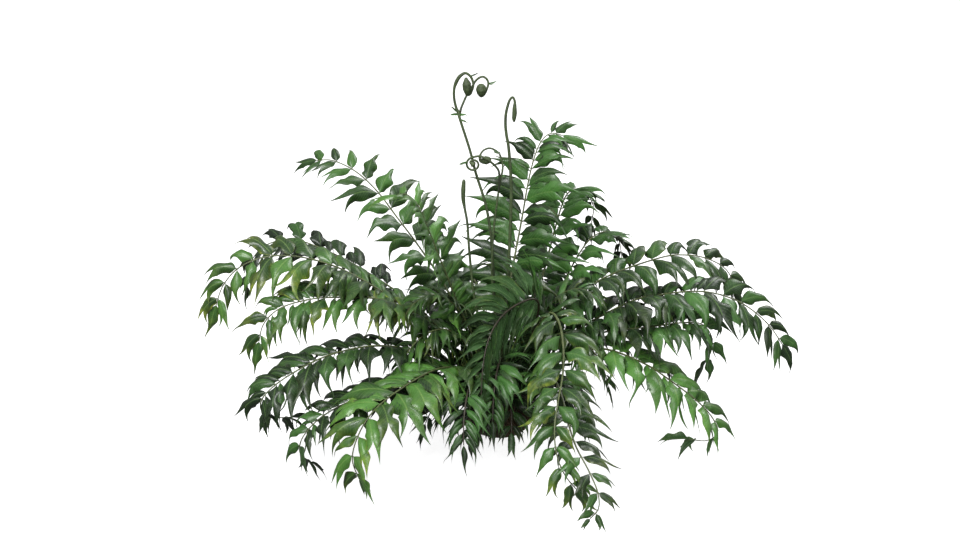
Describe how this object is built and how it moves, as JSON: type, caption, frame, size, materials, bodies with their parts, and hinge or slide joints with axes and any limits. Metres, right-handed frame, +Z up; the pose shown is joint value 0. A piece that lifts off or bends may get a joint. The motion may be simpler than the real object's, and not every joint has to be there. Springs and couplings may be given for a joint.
{
  "type": "fern clump",
  "caption": "Clump of fern: arching fronds with drooping, wavy, fork-tipped leaflets and a few coiled young fronds rise from one low rootstock with a flat underside.",
  "frame": {"origin": "middle of the rootstock's flat underside, which rests on the surface", "axes": "+Z up; -Y is the front, the side that the two lowest front fronds reach towards; +X to the right seen from the front"},
  "size_m": [1.2354, 0.9133, 0.7513],
  "materials": {
    "rootstock": "fibrous, matte, dark brown",
    "young_stem": "scaly green-brown young shoot, satin",
    "leaf_bright": "glossy bright green leaf",
    "leaf_mid": "glossy mid-green leaf",
    "leaf_dark": "glossy dark green leaf",
    "leaf_shade": "dark shaded leaf, satin"
  },
  "bodies": {
    "root": {"crown": "rootstock", "crosier_tall": "young_stem", "crosier_forked": "young_stem", "crosier_closed": "young_stem", "crosier_hooked": "young_stem", "frond_01": "leaf_bright", "frond_02": "leaf_bright", "frond_03": "leaf_dark", "frond_04": "leaf_mid", "frond_05": "leaf_mid", "frond_06": "leaf_dark", "frond_07": "leaf_bright", "frond_08": "leaf_mid", "frond_09": "leaf_mid", "frond_10": "leaf_bright", "frond_11": "leaf_dark", "frond_12": "leaf_dark", "frond_13": "leaf_dark", "frond_14": "leaf_shade", "frond_15": "leaf_dark", "frond_16": "leaf_dark", "frond_17": "leaf_dark", "frond_18": "leaf_dark", "frond_19": "leaf_shade", "frond_20": "leaf_shade", "frond_21": "leaf_shade", "frond_22": "leaf_shade", "frond_23": "leaf_shade", "frond_24": "leaf_shade", "frond_25": "leaf_shade"}
  },
  "joints": []
}
